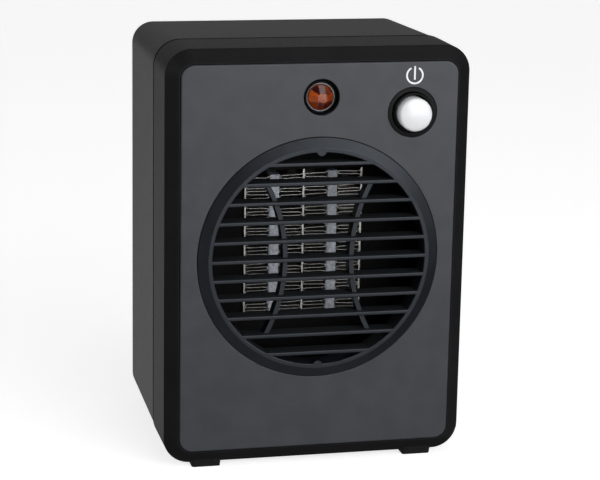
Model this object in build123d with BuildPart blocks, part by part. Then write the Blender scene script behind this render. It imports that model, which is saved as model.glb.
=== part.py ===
# Small ceramic space heater, in millimetres.
# Z is up, the front looks along -Y, and the origin is on the table, under the middle of the heater.
# A depth is measured backwards from the front of the face panel; x and z are measured from its middle.
from build123d import *
import math
import os

os.makedirs("parts", exist_ok=True)

# Casing
body_width = 110.0
body_height = 150.5
corner_radius = 9.5
band_depth = 22.7
bevel_width = 4.55
bevel_depth = 3.33
wall = 2.2
front_wall = 2.0
rear_wall = 2.0
seam_gap = 0.4
seam_step = 0.3
draft_inset = 1.25
shell_fall = 0.55
tongue_reach = 3.0
tongue_root = 3.0
tongue_wall = 1.4
fit_gap = 0.15
edge_round = 0.5
back_round = 1.2

# Face panel
panel_gap = 0.25
rim_land = 0.35
panel_proud = 0.6
panel_thickness = 1.6
panel_radius = 4.8
hole_round = 0.25

# Grille
ring_radius = 43.74
ring_edge = 0.2
lip_proud = 2.0
lip_slope = 3.54
lip_width = 1.5
lip_round = 0.3
spigot_step = 3.04
spigot_reach = 7.0
bar_count = 11
bar_pitch = 6.9
bar_thickness = 1.35
bar_depth = 7.0
bar_round = 0.35
rib_middle = 12.1
rib_bow = 58.5
rib_width = 1.6
rib_set_back = 2.0
rib_bars = 8
nub_radius = 1.7
nub_drop = 0.5
nub_depth = 2.5
hook_height = 1.1
hook_depth = 1.4
hook_angle = 9.0

# Push button
button_side = 21.85
button_drop = 6.05
button_radius = 6.15
button_rim_proud = 4.8
button_dome = 1.2
button_round = 0.4
button_skirt = 9.8
button_wall = 1.5
button_clearance = 0.3
collar_radius = 8.77
collar_lip = 0.2
collar_rise = 1.2
collar_crown = 0.6
collar_slope = 0.45
collar_round = 0.25
collar_flange = 1.6
collar_flange_depth = 1.5
collar_tube_wall = 1.6
stem_radius = 1.9
stem_socket_wall = 1.1

# Power switch behind the button
switch_depth = 16.0
switch_width = 16.0
switch_height = 18.0
switch_length = 20.0
switch_ear_height = 8.0
switch_ear_thickness = 2.0
plunger_radius = 2.8
plunger_length = 12.0
plunger_room = 7.0
tab_width = 6.3
tab_thickness = 0.8
tab_length = 7.0
tab_spread = 8.0

# Pilot lamp
lamp_raise = 1.08
lamp_shift_x = -0.25
lamp_shift_z = -0.07
lamp_play = 0.8
lens_gap = 0.1
holder_wall = 0.65
lamp_set_back = 0.9
bezel_width = 0.45
bezel_depth = 0.6
holder_flange = 2.2
holder_flange_depth = 1.4
holder_length = 20.0
lens_radius = 4.88
lens_dome = 3.2
lens_cut = 0.5
lens_tilt = 38.0
lens_rim = 1.2
lens_wall = 1.0
lens_length = 9.0
lens_facets = 8
lens_crown = 1.6
lamp_stop = 0.9
lamp_base_depth = 14.0
lamp_base_thickness = 3.0
bulb_radius = 2.6
bulb_length = 9.0

# Heating element
element_depth = 25.0
element_width = 44.0
element_length = 12.0
plate_thickness = 0.6
strip_thickness = 3.8
fin_sheet = 0.28
fin_runs = 42
fin_flat = 0.9
cap_height = 2.6
element_gap = 0.2
plate_tab = 5.0
plate_tab_inset = 8.0
holder_plate_set_back = 1.0
holder_plate = 2.5
skirt_wall = 1.4
skirt_corner_gap = 2.78
skirt_ledge_depth = 1.2

# Air duct and its screws
duct_gap = 0.3
duct_wall = 1.8
cone_set_back = 2.5
cone_length = 6.0
duct_ledge = 1.4
tip_gap = 1.3
ear_offset = 4.6
ear_radius = 4.2
ear_thickness = 2.5
ear_depth = 12.0
post_radius = 3.2
post_gap = 0.4
small_screw_radius = 1.4
small_head_radius = 2.8
small_head_height = 1.8
small_screw_length = 9.0
thread_gap = 0.05
shank_gap = 0.25
spoke_count = 4
spoke_width = 5.0
motor_plate_radius = 25.0
motor_plate = 2.5
motor_plate_bore = 6.5

# Fan
fan_radius = 36.0
fan_set_back = 0.5
fan_hub_radius = 9.5
fan_hub_length = 11.5
fan_hub_wall = 1.6
fan_boss_radius = 4.0
blade_count = 7
blade_thickness = 1.6
blade_root_chord = 13.0
blade_tip_chord = 19.0
blade_root_pitch = 42.0
blade_tip_pitch = 26.0

# Motor
shaft_radius = 1.5
shaft_front = 2.0
shaft_gap = 0.04
rotor_radius = 10.0
rotor_gap = 0.4
rotor_overhang = 0.6
rotor_end_gap = 0.5
core_width = 42.0
core_top = 14.0
core_drop = 36.0
core_thickness = 11.0
core_leg = 10.0
core_yoke = 15.0
core_bar = 9.0
bobbin_wall = 1.0
bobbin_flange = 1.2
winding_build = 3.4
winding_skin = 0.6
bracket_plate = 1.5
bracket_height = 15.0
bracket_leg = 3.5
bracket_leg_width = 8.0
boss_radius = 5.5
bush_radius = 3.2
motor_screw_x = 15.6
motor_screw_radius = 1.5
motor_head_radius = 2.8
motor_head_height = 2.0
motor_room = 2.33

# Thermostat and thermal fuse on the element holder
thermostat_radius = 5.2
thermostat_height = 6.0
thermostat_rim = 0.8
thermostat_rim_height = 1.2
fuse_radius = 1.7
fuse_length = 11.0
fuse_lead_radius = 0.5
fuse_lead_length = 4.0

# Screws that hold the two halves of the casing together
case_post_inset = 8.3
case_post_radius = 3.8
case_post_end = 22.0
case_tube_radius = 4.8
case_screw_radius = 1.5
case_head_radius = 2.9
case_head_height = 2.0
case_seat = 3.0
case_screw_reach = 9.0

# Air inlet in the back
inlet_radius = 35.0
inlet_rows = 11
inlet_pitch = 6.0
inlet_slot = 3.0
inlet_rib = 4.0

# Cord gland
gland_side = 25.0
gland_up = 17.25
gland_bore = 3.2
gland_barrel = 4.7
gland_flange = 6.8
gland_proud = 1.5
gland_reach = 9.0
gland_nut_size = 7.6
gland_nut_height = 4.5
gland_mouth = 0.6

# Terminal block beside the gland, and the leads
terminal_offset = 25.0
terminal_width = 24.0
terminal_height = 10.0
terminal_length = 12.0
terminal_pitch = 7.0
terminal_pocket = 4.0
terminal_boss_radius = 3.0
terminal_boss_length = 4.0
terminal_screw_gap = 0.5
lead_radius = 0.75
lead_turn = 4.5
lead_room = 0.7
lead_side = 6.8
lead_bow = 1.5
lead_clear = 4.1
loop_turns = 2.3
drop_turns = 1.7
slack_tabs = 1.5
arch_tabs = 3.0
motor_lead_spread = 3.5
lamp_lead_spread = 1.5

# Feet
foot_height = 1.8
foot_width = 11.0
foot_length = 13.0
foot_forward = 0.9
foot_inset = 15.55
foot_radius = 1.0
foot_draft = 0.3
foot_back_inset = 6.0

# Places that follow from the sizes
button_proud = button_rim_proud + button_dome
edge_depth = panel_proud + bevel_depth
seam_depth = edge_depth + band_depth
shell_front = seam_depth + seam_gap
wall_back = panel_thickness + front_wall

rim_width = body_width - 2 * bevel_width
rim_height = body_height - 2 * bevel_width
panel_width = rim_width - 2 * (rim_land + panel_gap)
panel_height = rim_height - 2 * (rim_land + panel_gap)
shell_width = body_width - 2 * seam_step
shell_height = body_height - 2 * seam_step
shell_radius = corner_radius - seam_step
foot_x = body_width / 2 - foot_inset

lip_radius = ring_radius - lip_slope
lip_inner = lip_radius - lip_width
spigot_radius = ring_radius - spigot_step
spigot_hole = spigot_radius + fit_gap
duct_radius = spigot_radius + hook_height + duct_gap

lamp_z = (ring_radius + panel_height / 2) / 2 + lamp_raise
holder_bore = lens_radius + lens_gap
holder_radius = holder_bore + holder_wall
lamp_hole = holder_radius + lamp_play
lens_x = lamp_shift_x
lens_z = lamp_z + lamp_shift_z
holder_front = lamp_set_back + bezel_depth

button_x = body_width / 2 - button_side
button_z = lamp_z - button_drop
switch_ear_x = collar_radius + collar_flange + post_radius + post_gap
switch_post_places = [(button_x + i * switch_ear_x, button_z) for i in (-1, 1)]
switch_end = switch_depth + switch_length
plunger_end = switch_end - plunger_room - button_wall

fin_width = (element_width - 3 * plate_thickness - 2 * strip_thickness) / 4
element_back = element_depth + element_length
skirt_half_width = element_width / 2 + element_gap + skirt_wall
skirt_half_height = math.sqrt((duct_radius - skirt_corner_gap) ** 2 - skirt_half_width**2)
stack_height = 2 * (skirt_half_height - skirt_wall - element_gap)
element_height = stack_height - 2 * cap_height
holder_plate_depth = element_depth + holder_plate_set_back
holder_back = holder_plate_depth + holder_plate
safety_x = (skirt_half_width + duct_radius - duct_ledge) / 2

duct_cone_start = element_back + cone_set_back
duct_cone_end = duct_cone_start + cone_length
fan_depth = duct_cone_end + fan_set_back
fan_back = fan_depth + fan_hub_length
fan_duct_radius = fan_radius + tip_gap
motor_plate_depth = fan_back + shaft_front
duct_back = motor_plate_depth + motor_plate
ear_reach = (duct_radius + duct_wall + ear_offset) / math.sqrt(2)
ear_places = [(i * ear_reach, j * ear_reach) for i in (-1, 1) for j in (-1, 1)]

bracket_front = duct_back
core_front = bracket_front + bracket_plate + bracket_leg
core_back = core_front + core_thickness
bracket_back = core_back + bracket_leg
motor_back = bracket_back + bracket_plate
screw_places = [(-motor_screw_x, 0), (motor_screw_x, 0)]

back_inside = motor_back + motor_head_height + motor_room
back_depth = back_inside + rear_wall
total_depth = button_proud + back_depth + gland_proud
face_y = button_proud - total_depth / 2
face_z = foot_height + body_height / 2

case_post_x = body_width / 2 - wall - case_post_inset
case_post_z = body_height / 2 - wall - case_post_inset
case_places = [(i * case_post_x, j * case_post_z) for i in (-1, 1) for j in (-1, 1)]

gland_x = body_width / 2 - gland_side
gland_z = gland_up - body_height / 2
terminal_x = gland_x - terminal_offset
terminal_z = gland_z
terminal_front = back_inside - terminal_length

tab_depth = element_back + plate_tab / 2
tab_z = element_height / 2 - plate_tab_inset
plate_x = (element_width - plate_thickness) / 2
switch_tab_depth = switch_end + tab_length / 2
safety_tab_depth = holder_back + thermostat_height + plate_tab / 2
safety_lead_x = safety_x - tab_width / 4
lead_hole = lead_radius + lead_room
lead_holes_up = [(safety_lead_x, safety_tab_depth), (plate_x, tab_depth)]
lead_holes_down = [(-plate_x, tab_depth)]


def facing(depth, x=0.0, z=0.0):
    # plane that looks out of the front at a depth behind the face
    return Plane(origin=(x, face_y + depth, face_z + z), x_dir=(1, 0, 0), z_dir=(0, -1, 0))


def turned(outline, x=0.0, z=0.0, mode=Mode.ADD):
    # solid of revolution about a fore-and-aft line; the outline is made of (radius, depth) points
    with BuildSketch(Plane(origin=(x, face_y, face_z + z))) as profile:
        with BuildLine():
            Polyline(*outline, close=True)
        make_face()
    revolve(profile.sketch, axis=Axis((x, face_y, face_z + z), (0, 1, 0)), mode=mode)


def slab(front, back, width, height, x=0.0, z=0.0, mode=Mode.ADD):
    # straight block between two depths
    with BuildSketch(facing(front, x, z)) as section:
        Rectangle(width, height)
    extrude(section.sketch, amount=front - back, mode=mode)


def rods(front, back, radius, places, mode=Mode.ADD):
    # round bars, or holes, between two depths
    with BuildSketch(facing(front)) as section:
        with Locations(*places):
            Circle(radius)
    extrude(section.sketch, amount=front - back, mode=mode)


def uprights(low, high, radius, places, mode=Mode.ADD):
    # round bars, or holes, that stand upright between two levels; a place is (x, depth)
    with BuildSketch(Plane.XY.offset(face_z + low)) as section:
        with Locations(*[(x, face_y + depth) for x, depth in places]):
            Circle(radius)
    extrude(section.sketch, amount=high - low, mode=mode)


def lead(*stops):
    # insulated wire along straight runs and arcs; a stop is (x, depth, z)
    with BuildLine() as route:
        FilletPolyline(*[(x, face_y + depth, face_z + z) for x, depth, z in stops], radius=lead_turn)
    with BuildSketch(Plane(origin=route.line @ 0, z_dir=route.line % 0)) as section:
        Circle(lead_radius)
    sweep(section.sketch, path=route.line)


def shell_inset(depth):
    # how far the tapering rear shell has drawn in at a depth
    return draft_inset * (depth - shell_front) / (back_depth - shell_front)


def shell_section(depth, inward):
    # rounded outline of the rear shell at a depth, drawn in by a wall; its middle falls towards the back
    drawn = shell_inset(depth) + inward
    fall = shell_fall * (depth - shell_front) / (back_depth - shell_front)
    with BuildSketch(facing(depth, 0, -fall)) as section:
        RectangleRounded(shell_width - 2 * drawn, shell_height - 2 * drawn, shell_radius - drawn)
    return section.sketch


def save(piece, name):
    piece.part.label = name
    export_step(piece.part, f"parts/{name}.step")


# Outer form of the front frame, before it is hollowed: side band and bevel
with BuildPart() as frame_form:
    with BuildSketch(facing(edge_depth)):
        RectangleRounded(body_width, body_height, corner_radius)
    extrude(amount=-band_depth)
    with BuildSketch(facing(edge_depth)):
        RectangleRounded(body_width, body_height, corner_radius)
    with BuildSketch(facing(panel_proud)):
        RectangleRounded(rim_width, rim_height, corner_radius - bevel_width)
    loft(ruled=True)
    fillet(frame_form.edges().group_by(Axis.Y)[2], radius=edge_round)

# Front frame: the form hollowed out, with the front wall and the posts behind it
with BuildPart() as front_frame:
    add(frame_form.part)
    with BuildSketch(facing(wall_back)):
        RectangleRounded(body_width - 2 * wall, body_height - 2 * wall, corner_radius - wall)
    extrude(amount=wall_back - seam_depth, mode=Mode.SUBTRACT)
    with BuildSketch(facing(panel_proud)):
        RectangleRounded(panel_width + 2 * panel_gap, panel_height + 2 * panel_gap, panel_radius + panel_gap)
    extrude(amount=panel_proud - panel_thickness, mode=Mode.SUBTRACT)
    rods(panel_thickness, wall_back, spigot_hole, [(0, 0)], Mode.SUBTRACT)
    rods(panel_thickness, wall_back, collar_radius + fit_gap, [(button_x, button_z)], Mode.SUBTRACT)
    rods(panel_thickness, wall_back, lamp_hole, [(0, lamp_z)], Mode.SUBTRACT)
    rods(wall_back, case_post_end, case_post_radius, case_places)
    rods(case_post_end - case_screw_reach, case_post_end, case_screw_radius + thread_gap,
         case_places, Mode.SUBTRACT)
    rods(wall_back, ear_depth, post_radius, ear_places)
    rods(wall_back, ear_depth, small_screw_radius + thread_gap, ear_places, Mode.SUBTRACT)
    rods(wall_back, switch_depth, post_radius, switch_post_places)
    rods(wall_back, switch_depth, small_screw_radius + thread_gap, switch_post_places, Mode.SUBTRACT)
save(front_frame, "front_frame")

# Face panel with its three round holes
with BuildPart() as face_panel:
    with BuildSketch(facing(0)):
        RectangleRounded(panel_width, panel_height, panel_radius)
        Circle(ring_radius + fit_gap, mode=Mode.SUBTRACT)
        with Locations((button_x, button_z)):
            Circle(collar_radius + fit_gap, mode=Mode.SUBTRACT)
        with Locations((0, lamp_z)):
            Circle(lamp_hole, mode=Mode.SUBTRACT)
    extrude(amount=-panel_thickness)
    front = face_panel.faces().sort_by(Axis.Y)[0]
    outline = front.outer_wire().edges()
    holes = front.inner_wires().edges()
    fillet(outline, radius=edge_round)
    fillet(holes, radius=hole_round)
save(face_panel, "face_panel")

# Grille: coned ring with a flat lip, level louvres, two bowed ribs, two nubs and four hooks behind the wall
with BuildPart() as grille:
    turned([
        (lip_inner, -lip_proud),
        (lip_radius, -lip_proud),
        (ring_radius, -ring_edge),
        (ring_radius, panel_thickness),
        (spigot_radius, panel_thickness),
        (spigot_radius, spigot_reach),
        (lip_inner, spigot_reach),
    ])
    fillet(grille.edges().group_by(Axis.Y)[0], radius=lip_round)
    for step in range(bar_count):
        bar_z = (step - (bar_count - 1) / 2) * bar_pitch
        reach = math.sqrt(((lip_inner + spigot_radius) / 2) ** 2 - bar_z**2)
        bar_middle = Plane(origin=(0, face_y, face_z + bar_z), x_dir=(0, 1, 0), z_dir=(1, 0, 0))
        with BuildSketch(bar_middle) as bar_end:
            with Locations((bar_depth / 2 - lip_proud, 0)):
                Rectangle(bar_depth, bar_thickness)
            fillet(bar_end.vertices().group_by(Axis.X)[0], radius=bar_round)
        extrude(amount=reach, both=True)
    for side in (-1, 1):
        with BuildSketch(facing(rib_set_back - lip_proud)):
            with Locations((side * (rib_middle + rib_bow), 0)):
                Circle(rib_bow + rib_width / 2)
                Circle(rib_bow - rib_width / 2, mode=Mode.SUBTRACT)
            with Locations((side * lip_inner / 2, 0)):
                Rectangle(lip_inner, rib_bars * bar_pitch, mode=Mode.INTERSECT)
        extrude(amount=rib_set_back - bar_depth)
    for side in (-1, 1):
        with BuildSketch(facing(-lip_proud)):
            with Locations((0, side * (lip_inner + nub_drop))):
                Circle(nub_radius)
            Circle(lip_radius, mode=Mode.INTERSECT)
        extrude(amount=-nub_depth)
    hook_root = spigot_radius - fit_gap
    hook_tip = spigot_radius + hook_height
    hook_turn = math.radians(2 * hook_angle)
    with BuildSketch(facing(wall_back)):
        with PolarLocations(0, 4, start_angle=45 - hook_angle):
            with BuildLine():
                CenterArc((0, 0), hook_root, 0, 2 * hook_angle)
                CenterArc((0, 0), hook_tip, 0, 2 * hook_angle)
                Line((hook_root, 0), (hook_tip, 0))
                Line((hook_root * math.cos(hook_turn), hook_root * math.sin(hook_turn)),
                     (hook_tip * math.cos(hook_turn), hook_tip * math.sin(hook_turn)))
            make_face()
    extrude(amount=-hook_depth)
save(grille, "grille")

# Outer form of the rear shell, before it is hollowed
with BuildPart() as shell_form:
    loft([shell_section(shell_front, 0), shell_section(back_depth, 0)], ruled=True)
    fillet(shell_form.faces().sort_by(Axis.Y)[-1].edges(), radius=back_round)

# Rear shell: tapering tub with a tongue at the seam, screw tubes, air inlet, gland hole and terminal boss
with BuildPart() as rear_shell:
    add(shell_form.part)
    loft([shell_section(shell_front, wall), shell_section(back_inside, wall)], ruled=True, mode=Mode.SUBTRACT)
    tongue_width = body_width - 2 * (wall + fit_gap)
    tongue_height = body_height - 2 * (wall + fit_gap)
    tongue_radius = corner_radius - wall - fit_gap
    with BuildSketch(facing(seam_depth - tongue_reach)):
        RectangleRounded(tongue_width, tongue_height, tongue_radius)
        RectangleRounded(tongue_width - 2 * tongue_wall, tongue_height - 2 * tongue_wall,
                         tongue_radius - tongue_wall, mode=Mode.SUBTRACT)
    extrude(amount=-(tongue_reach + seam_gap + tongue_root))
    rods(case_post_end, back_inside + rear_wall / 2, case_tube_radius, case_places)
    rods(case_post_end, back_depth, case_screw_radius + shank_gap, case_places, Mode.SUBTRACT)
    rods(case_post_end + case_seat, back_depth, case_head_radius + shank_gap, case_places, Mode.SUBTRACT)
    with BuildSketch(facing(back_inside)):
        for row in range(inlet_rows):
            slot_z = (row - (inlet_rows - 1) / 2) * inlet_pitch
            slot_end = math.sqrt(inlet_radius**2 - slot_z**2)
            slot_length = slot_end - inlet_rib / 2
            slot_x = (inlet_rib + slot_length) / 2
            with Locations((slot_x, slot_z), (-slot_x, slot_z)):
                SlotOverall(slot_length, inlet_slot)
    extrude(amount=-rear_wall, mode=Mode.SUBTRACT)
    rods(back_inside, back_depth, gland_barrel + fit_gap, [(gland_x, gland_z)], Mode.SUBTRACT)
    rods(back_inside - terminal_boss_length, back_inside + rear_wall / 2, terminal_boss_radius,
         [(terminal_x, terminal_z)])
    rods(back_inside - terminal_boss_length, back_inside, small_screw_radius + thread_gap,
         [(terminal_x, terminal_z)], Mode.SUBTRACT)
save(rear_shell, "rear_shell")

# Front feet: rubber pads under the front frame, reaching a little way up the bevel
with BuildPart() as front_feet:
    front_foot_top = foot_height + bevel_width * foot_forward / bevel_depth
    for side in (-1, 1):
        place = (side * foot_x, face_y + edge_depth - foot_forward + foot_length / 2)
        for level, drawn in ((0, foot_draft), (front_foot_top, 0)):
            with BuildSketch(Plane.XY.offset(level)):
                with Locations(place):
                    RectangleRounded(foot_width - 2 * drawn, foot_length - 2 * drawn, foot_radius)
        loft(ruled=True)
    add(frame_form.part, mode=Mode.SUBTRACT)
save(front_feet, "front_feet")

# Rear feet: taller pads whose tops follow the tapering floor of the rear shell
with BuildPart() as rear_feet:
    rear_foot_top = foot_height + seam_step + draft_inset
    for side in (-1, 1):
        place = (side * foot_x, face_y + back_depth - foot_back_inset - foot_length / 2)
        for level, drawn in ((0, foot_draft), (rear_foot_top, 0)):
            with BuildSketch(Plane.XY.offset(level)):
                with Locations(place):
                    RectangleRounded(foot_width - 2 * drawn, foot_length - 2 * drawn, foot_radius)
        loft(ruled=True)
    add(shell_form.part, mode=Mode.SUBTRACT)
save(rear_feet, "rear_feet")

# Button cap: domed, hollow, with a socket for the switch plunger
with BuildPart() as button_cap:
    dome_radius = (button_radius**2 + button_dome**2) / (2 * button_dome)
    with BuildSketch(Plane(origin=(button_x, face_y, face_z + button_z))) as cap_profile:
        with BuildLine():
            RadiusArc((0, -button_proud), (button_radius, -button_rim_proud), -dome_radius)
            Polyline((button_radius, -button_rim_proud), (button_radius, button_skirt - button_rim_proud),
                     (button_radius - button_wall, button_skirt - button_rim_proud),
                     (button_radius - button_wall, button_wall - button_rim_proud),
                     (0, button_wall - button_rim_proud), (0, -button_proud))
        make_face()
        fillet(cap_profile.vertices().group_by(Axis.X)[-1].sort_by(Axis.Y)[0], radius=button_round)
    revolve(axis=Axis((button_x, face_y, face_z + button_z), (0, 1, 0)))
    rods(button_wall - button_rim_proud, button_skirt - button_rim_proud,
         stem_radius + fit_gap + stem_socket_wall, [(button_x, button_z)])
    rods(button_wall - button_rim_proud, button_skirt - button_rim_proud,
         stem_radius + fit_gap, [(button_x, button_z)], Mode.SUBTRACT)
save(button_cap, "button_cap")

# Button collar: flat ring with a raised crown round the button, held between the front wall and the switch
collar_bore = button_radius + button_clearance
crown_radius = collar_bore + collar_crown
with BuildPart() as button_collar:
    turned([
        (collar_bore, -collar_rise),
        (crown_radius, -collar_rise),
        (crown_radius + collar_slope, collar_lip),
        (collar_radius, collar_lip),
        (collar_radius, wall_back),
        (collar_radius + collar_flange, wall_back),
        (collar_radius + collar_flange, wall_back + collar_flange_depth),
        (collar_bore + collar_tube_wall, wall_back + collar_flange_depth),
        (collar_bore + collar_tube_wall, switch_depth),
        (collar_bore, switch_depth),
    ], button_x, button_z)
    fillet(button_collar.edges().group_by(Axis.Y)[0], radius=collar_round)
save(button_collar, "button_collar")

# Power switch: block with two ears and a bore for its plunger
with BuildPart() as power_switch:
    slab(switch_depth, switch_end, switch_width, switch_height, button_x, button_z)
    slab(switch_depth, switch_depth + switch_ear_thickness,
         2 * (switch_ear_x + post_radius), switch_ear_height, button_x, button_z)
    rods(switch_depth, plunger_end + plunger_room, plunger_radius + button_clearance,
         [(button_x, button_z)], Mode.SUBTRACT)
    rods(switch_depth, switch_depth + switch_ear_thickness, small_screw_radius + shank_gap,
         switch_post_places, Mode.SUBTRACT)
save(power_switch, "power_switch")

# Switch plunger: its stem sits in the socket of the button cap
with BuildPart() as switch_plunger:
    rods(button_wall - button_rim_proud, plunger_end, stem_radius, [(button_x, button_z)])
    rods(plunger_end - plunger_length, plunger_end, plunger_radius, [(button_x, button_z)])
save(switch_plunger, "switch_plunger")

# Blade terminals at the back of the switch
with BuildPart() as switch_terminals:
    for side in (-1, 1):
        slab(switch_end, switch_end + tab_length, tab_thickness, tab_width,
             button_x + side * tab_spread / 2, button_z)
save(switch_terminals, "switch_terminals")

# Two pan-head screws through the ears of the switch
with BuildPart() as switch_screws:
    switch_seat = switch_depth + switch_ear_thickness
    rods(switch_seat, switch_seat + small_head_height, small_head_radius, switch_post_places)
    rods(switch_seat - small_screw_length, switch_seat, small_screw_radius, switch_post_places)
save(switch_screws, "switch_screws")

# Pilot lens: dome with one flat facet in front and four tilted round it, and a faceted hollow behind
with BuildPart() as lamp_lens:
    lens_dome_radius = (lens_radius**2 + lens_dome**2) / (2 * lens_dome)
    lens_apex = lamp_set_back - lens_dome
    with BuildSketch(Plane(origin=(lens_x, face_y, face_z + lens_z))):
        with BuildLine():
            RadiusArc((0, lens_apex), (lens_radius, lamp_set_back), -lens_dome_radius)
            Polyline((lens_radius, lamp_set_back), (lens_radius, lens_length),
                     (0, lens_length), (0, lens_apex))
        make_face()
    revolve(axis=Axis((lens_x, face_y, face_z + lens_z), (0, 1, 0)))
    dome_middle = Vector(lens_x, face_y + lens_apex + lens_dome_radius, face_z + lens_z)
    lean = math.sin(math.radians(lens_tilt))
    ahead = -math.cos(math.radians(lens_tilt))
    for out in ((0, -1, 0), (lean, ahead, 0), (-lean, ahead, 0), (0, ahead, lean), (0, ahead, -lean)):
        with BuildSketch(Plane(origin=dome_middle + Vector(*out) * (lens_dome_radius - lens_cut), z_dir=out)):
            Circle(lens_radius)
        extrude(amount=lens_dome, mode=Mode.SUBTRACT)
    lens_hollow = lens_radius - lens_wall
    with BuildSketch(facing(lens_length, lens_x, lens_z)):
        RegularPolygon(lens_hollow, lens_facets)
    extrude(amount=lens_length - lens_rim - lens_crown, mode=Mode.SUBTRACT)
    with BuildSketch(facing(lens_rim + lens_crown, lens_x, lens_z)):
        RegularPolygon(lens_hollow, lens_facets)
    with BuildSketch(facing(lens_rim, lens_x, lens_z)):
        RegularPolygon(lens_hollow / lens_facets, lens_facets)
    loft(ruled=True, mode=Mode.SUBTRACT)
save(lamp_lens, "lamp_lens")

# Lamp bezel: thin bright ring round the lens, seated on the front of the holder
with BuildPart() as lamp_bezel:
    turned([
        (holder_bore, lamp_set_back),
        (holder_bore + bezel_width, lamp_set_back),
        (holder_bore + bezel_width, holder_front),
        (holder_bore, holder_front),
    ], lens_x, lens_z)
save(lamp_bezel, "lamp_bezel")

# Lamp holder: black tube with a flange behind the front wall and a stop for the lens and the lamp base
with BuildPart() as lamp_holder:
    turned([
        (holder_bore, holder_front),
        (holder_radius, holder_front),
        (holder_radius, wall_back),
        (holder_radius + holder_flange, wall_back),
        (holder_radius + holder_flange, wall_back + holder_flange_depth),
        (holder_radius, wall_back + holder_flange_depth),
        (holder_radius, holder_length),
        (holder_bore, holder_length),
        (holder_bore, lamp_base_depth),
        (holder_bore - lamp_stop, lamp_base_depth),
        (holder_bore - lamp_stop, lens_length),
        (holder_bore, lens_length),
    ], lens_x, lens_z)
save(lamp_holder, "lamp_holder")

# Neon bulb: glass capsule standing on its base inside the lens
with BuildPart() as neon_bulb:
    with BuildSketch(Plane(origin=(lens_x, face_y, face_z + lens_z))):
        with BuildLine():
            bulb_front = lamp_base_depth - bulb_length
            RadiusArc((0, bulb_front), (bulb_radius, bulb_front + bulb_radius), -bulb_radius)
            Polyline((bulb_radius, bulb_front + bulb_radius), (bulb_radius, lamp_base_depth),
                     (0, lamp_base_depth), (0, bulb_front))
        make_face()
    revolve(axis=Axis((lens_x, face_y, face_z + lens_z), (0, 1, 0)))
save(neon_bulb, "neon_bulb")

# Lamp base: plug in the back of the holder
with BuildPart() as lamp_base:
    rods(lamp_base_depth, lamp_base_depth + lamp_base_thickness, lens_radius, [(lens_x, lens_z)])
save(lamp_base, "lamp_base")


def fin_outline():
    # folded sheet: a run across, a flat up the wall, a run back, a flat up the other wall, and so on upwards
    pitch = (element_height - fin_sheet + fin_flat) / fin_runs
    rise = pitch - fin_flat
    low = (fin_sheet - element_height) / 2
    half = fin_sheet / 2
    left = half
    right = fin_width - half
    below = [(0, low - half)]
    above = [(0, low + half)]
    for run in range(fin_runs):
        end = low + run * pitch + rise
        if run % 2 == 0:
            below += [(right + half, end - half), (right + half, end + fin_flat + half)]
            above += [(right - half, end + half), (right - half, end + fin_flat - half)]
        else:
            below += [(left + half, end + half), (left + half, end + fin_flat - half)]
            above += [(left - half, end - half), (left - half, end + fin_flat + half)]
    return below[:-1] + above[-2::-1]


# Folded aluminium fins, one pack on each side of the two strips
fin_starts = {
    "fin_pack_outer_left": -element_width / 2 + plate_thickness,
    "fin_pack_inner_left": -plate_thickness / 2 - fin_width,
    "fin_pack_inner_right": plate_thickness / 2,
    "fin_pack_outer_right": element_width / 2 - plate_thickness - fin_width,
}
for fin_name, fin_start in fin_starts.items():
    with BuildPart() as fin_pack:
        with BuildSketch(facing(element_depth, fin_start)):
            with BuildLine():
                Polyline(*fin_outline(), close=True)
            make_face()
        extrude(amount=-element_length)
    save(fin_pack, fin_name)

# Ceramic strips that make the heat
for strip_name, side in (("ptc_strip_left", -1), ("ptc_strip_right", 1)):
    strip_centre = side * (plate_thickness / 2 + fin_width + strip_thickness / 2)
    with BuildPart() as ptc_strip:
        slab(element_depth, element_back, strip_thickness, element_height, strip_centre)
    save(ptc_strip, strip_name)

# Contact plates, each with a tab at the back for its lead
plate_places = {
    "contact_plate_left": (-1, -1),
    "contact_plate_centre": (0, 1),
    "contact_plate_right": (1, -1),
}
for plate_name, (side, tab_side) in plate_places.items():
    with BuildPart() as contact_plate:
        slab(element_depth, element_back, plate_thickness, element_height, side * plate_x)
        slab(element_back, element_back + plate_tab, plate_thickness, tab_width,
             side * plate_x, tab_side * tab_z)
    save(contact_plate, plate_name)

# Insulating caps on the ends of the stack
for cap_name, side in (("element_cap_top", 1), ("element_cap_bottom", -1)):
    with BuildPart() as element_cap:
        slab(element_depth, element_back, element_width, cap_height,
             0, side * (element_height + cap_height) / 2)
    save(element_cap, cap_name)

# Element holder: round plate across the duct, with a skirt round the stack and a ledge behind it
window_width = element_width + 2 * element_gap
window_height = stack_height + 2 * element_gap
with BuildPart() as element_holder:
    rods(holder_plate_depth, holder_plate_depth + holder_plate, duct_radius - duct_gap, [(0, 0)])
    slab(holder_plate_depth, element_back + skirt_ledge_depth, 2 * skirt_half_width, 2 * skirt_half_height)
    slab(holder_plate_depth, element_back, window_width, window_height, mode=Mode.SUBTRACT)
    slab(element_back, element_back + skirt_ledge_depth, element_width, element_height, mode=Mode.SUBTRACT)
save(element_holder, "element_holder")

# Thermostat: bimetal disc in a can, riveted to the back of the holder
with BuildPart() as thermostat:
    rods(holder_back, holder_back + thermostat_height, thermostat_radius, [(safety_x, 0)])
    rods(holder_back, holder_back + thermostat_rim_height,
         thermostat_radius + thermostat_rim, [(safety_x, 0)])
    for side in (-1, 1):
        slab(holder_back + thermostat_height, holder_back + thermostat_height + plate_tab, tab_width, tab_thickness,
             safety_x, side * thermostat_radius / 2)
save(thermostat, "thermostat")

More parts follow.
